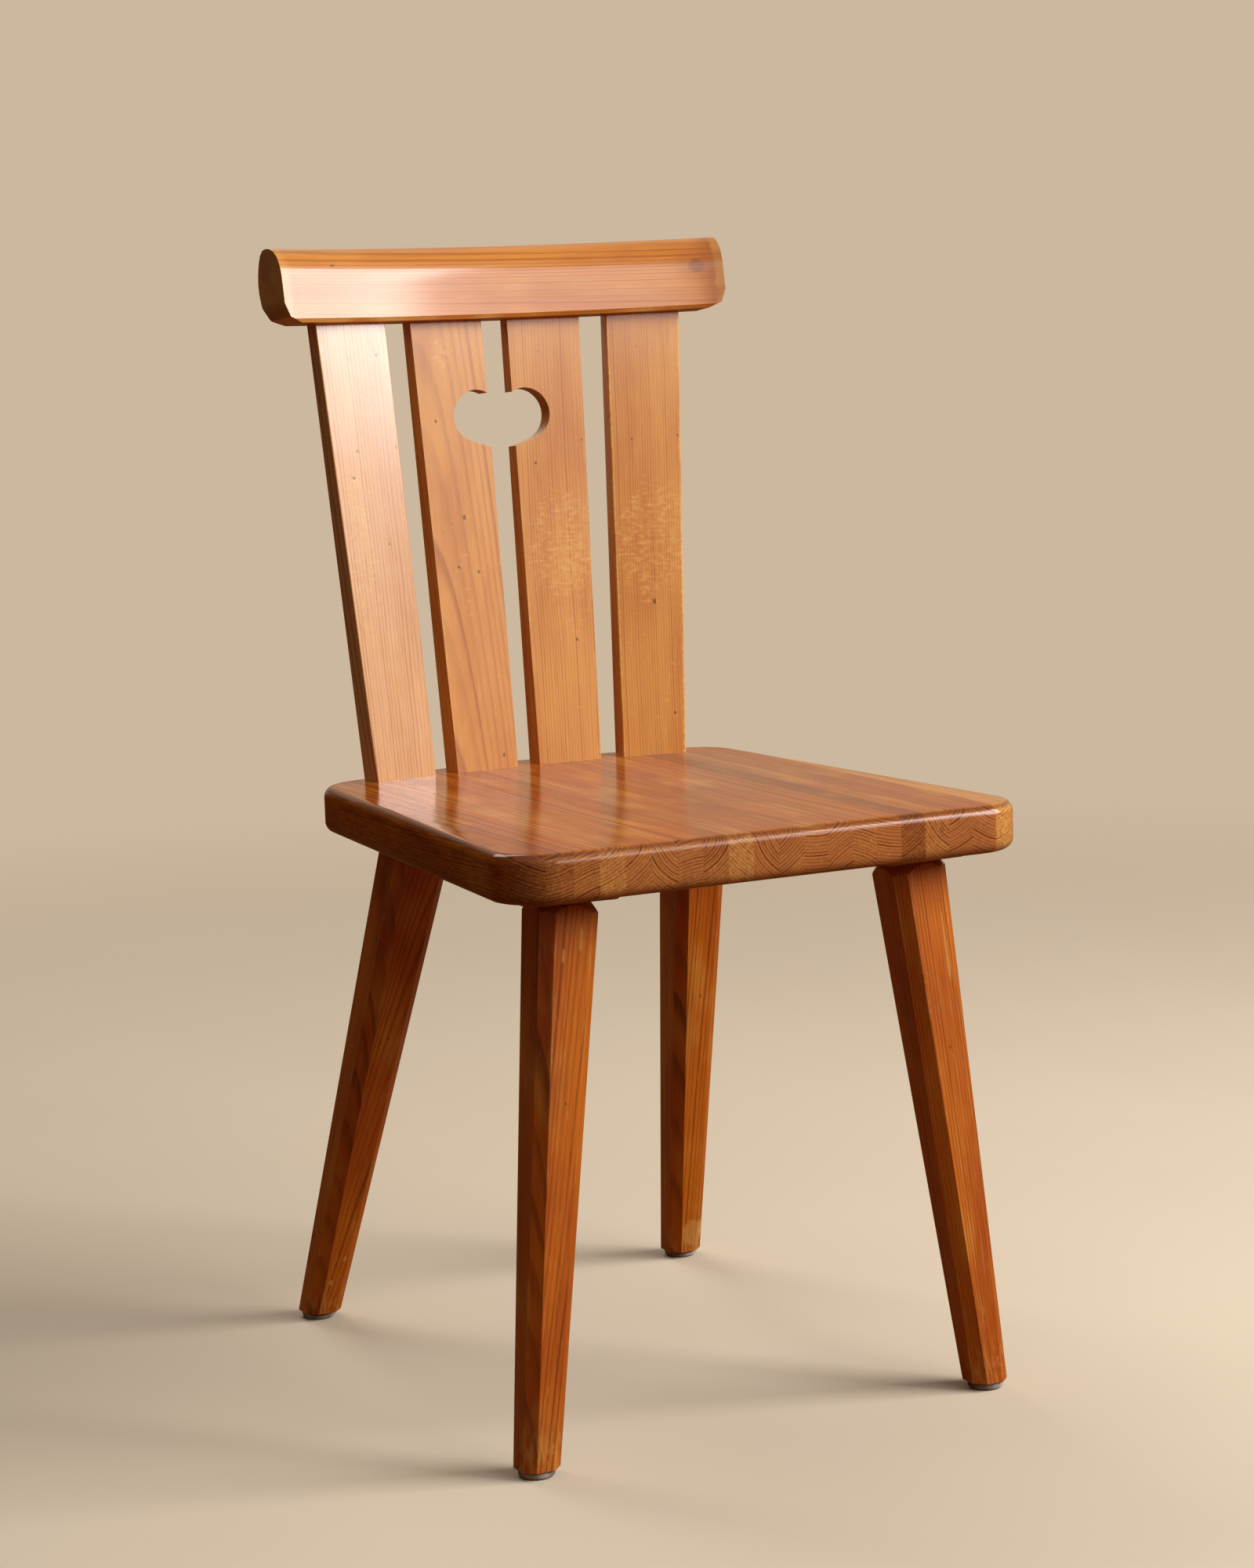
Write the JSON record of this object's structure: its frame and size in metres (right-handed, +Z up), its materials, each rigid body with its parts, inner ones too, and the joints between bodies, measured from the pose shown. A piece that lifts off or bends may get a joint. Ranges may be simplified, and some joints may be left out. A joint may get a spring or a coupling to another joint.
{
  "type": "heart-back pine chair",
  "caption": "Varnished pine plank chair: rounded stave seat on splayed chamfered legs, fanned slats pierced by a heart, and a bowed crest rail.",
  "frame": {"origin": "centre of the chair's footprint, on the floor", "axes": "+Z up; -Y towards the front edge of the seat, +Y towards the back; +X to the side on the viewer's right when facing the chair's front"},
  "size_m": [0.4152, 0.4938, 0.8469],
  "materials": {
    "seat_pine": "glossy amber varnish, scratched and dented",
    "leg_pine": "glossy amber varnish, rubbed and scuffed",
    "back_pine": "glossy amber varnish, worn pale on the slats",
    "glide": "scuffed"
  },
  "bodies": {
    "root": {"stave_01": "seat_pine", "stave_02": "seat_pine", "stave_03": "seat_pine", "stave_04": "seat_pine", "stave_05": "seat_pine", "stave_06": "seat_pine", "stave_07": "seat_pine", "stave_08": "seat_pine", "stave_09": "seat_pine", "stave_10": "seat_pine", "stave_11": "seat_pine", "stave_12": "seat_pine", "stave_13": "seat_pine", "stave_14": "seat_pine", "stave_15": "seat_pine", "stave_16": "seat_pine", "stave_17": "seat_pine", "stave_18": "seat_pine", "stave_19": "seat_pine", "stave_20": "seat_pine", "cleat_left": "leg_pine", "cleat_right": "leg_pine", "leg_front_left": "leg_pine", "leg_front_right": "leg_pine", "leg_rear_left": "leg_pine", "leg_rear_right": "leg_pine", "glide_front_left": "glide", "glide_front_right": "glide", "glide_rear_left": "glide", "glide_rear_right": "glide", "slat_1": "back_pine", "slat_2": "back_pine", "slat_3": "back_pine", "slat_4": "back_pine", "crest_rail": "back_pine"}
  },
  "joints": []
}
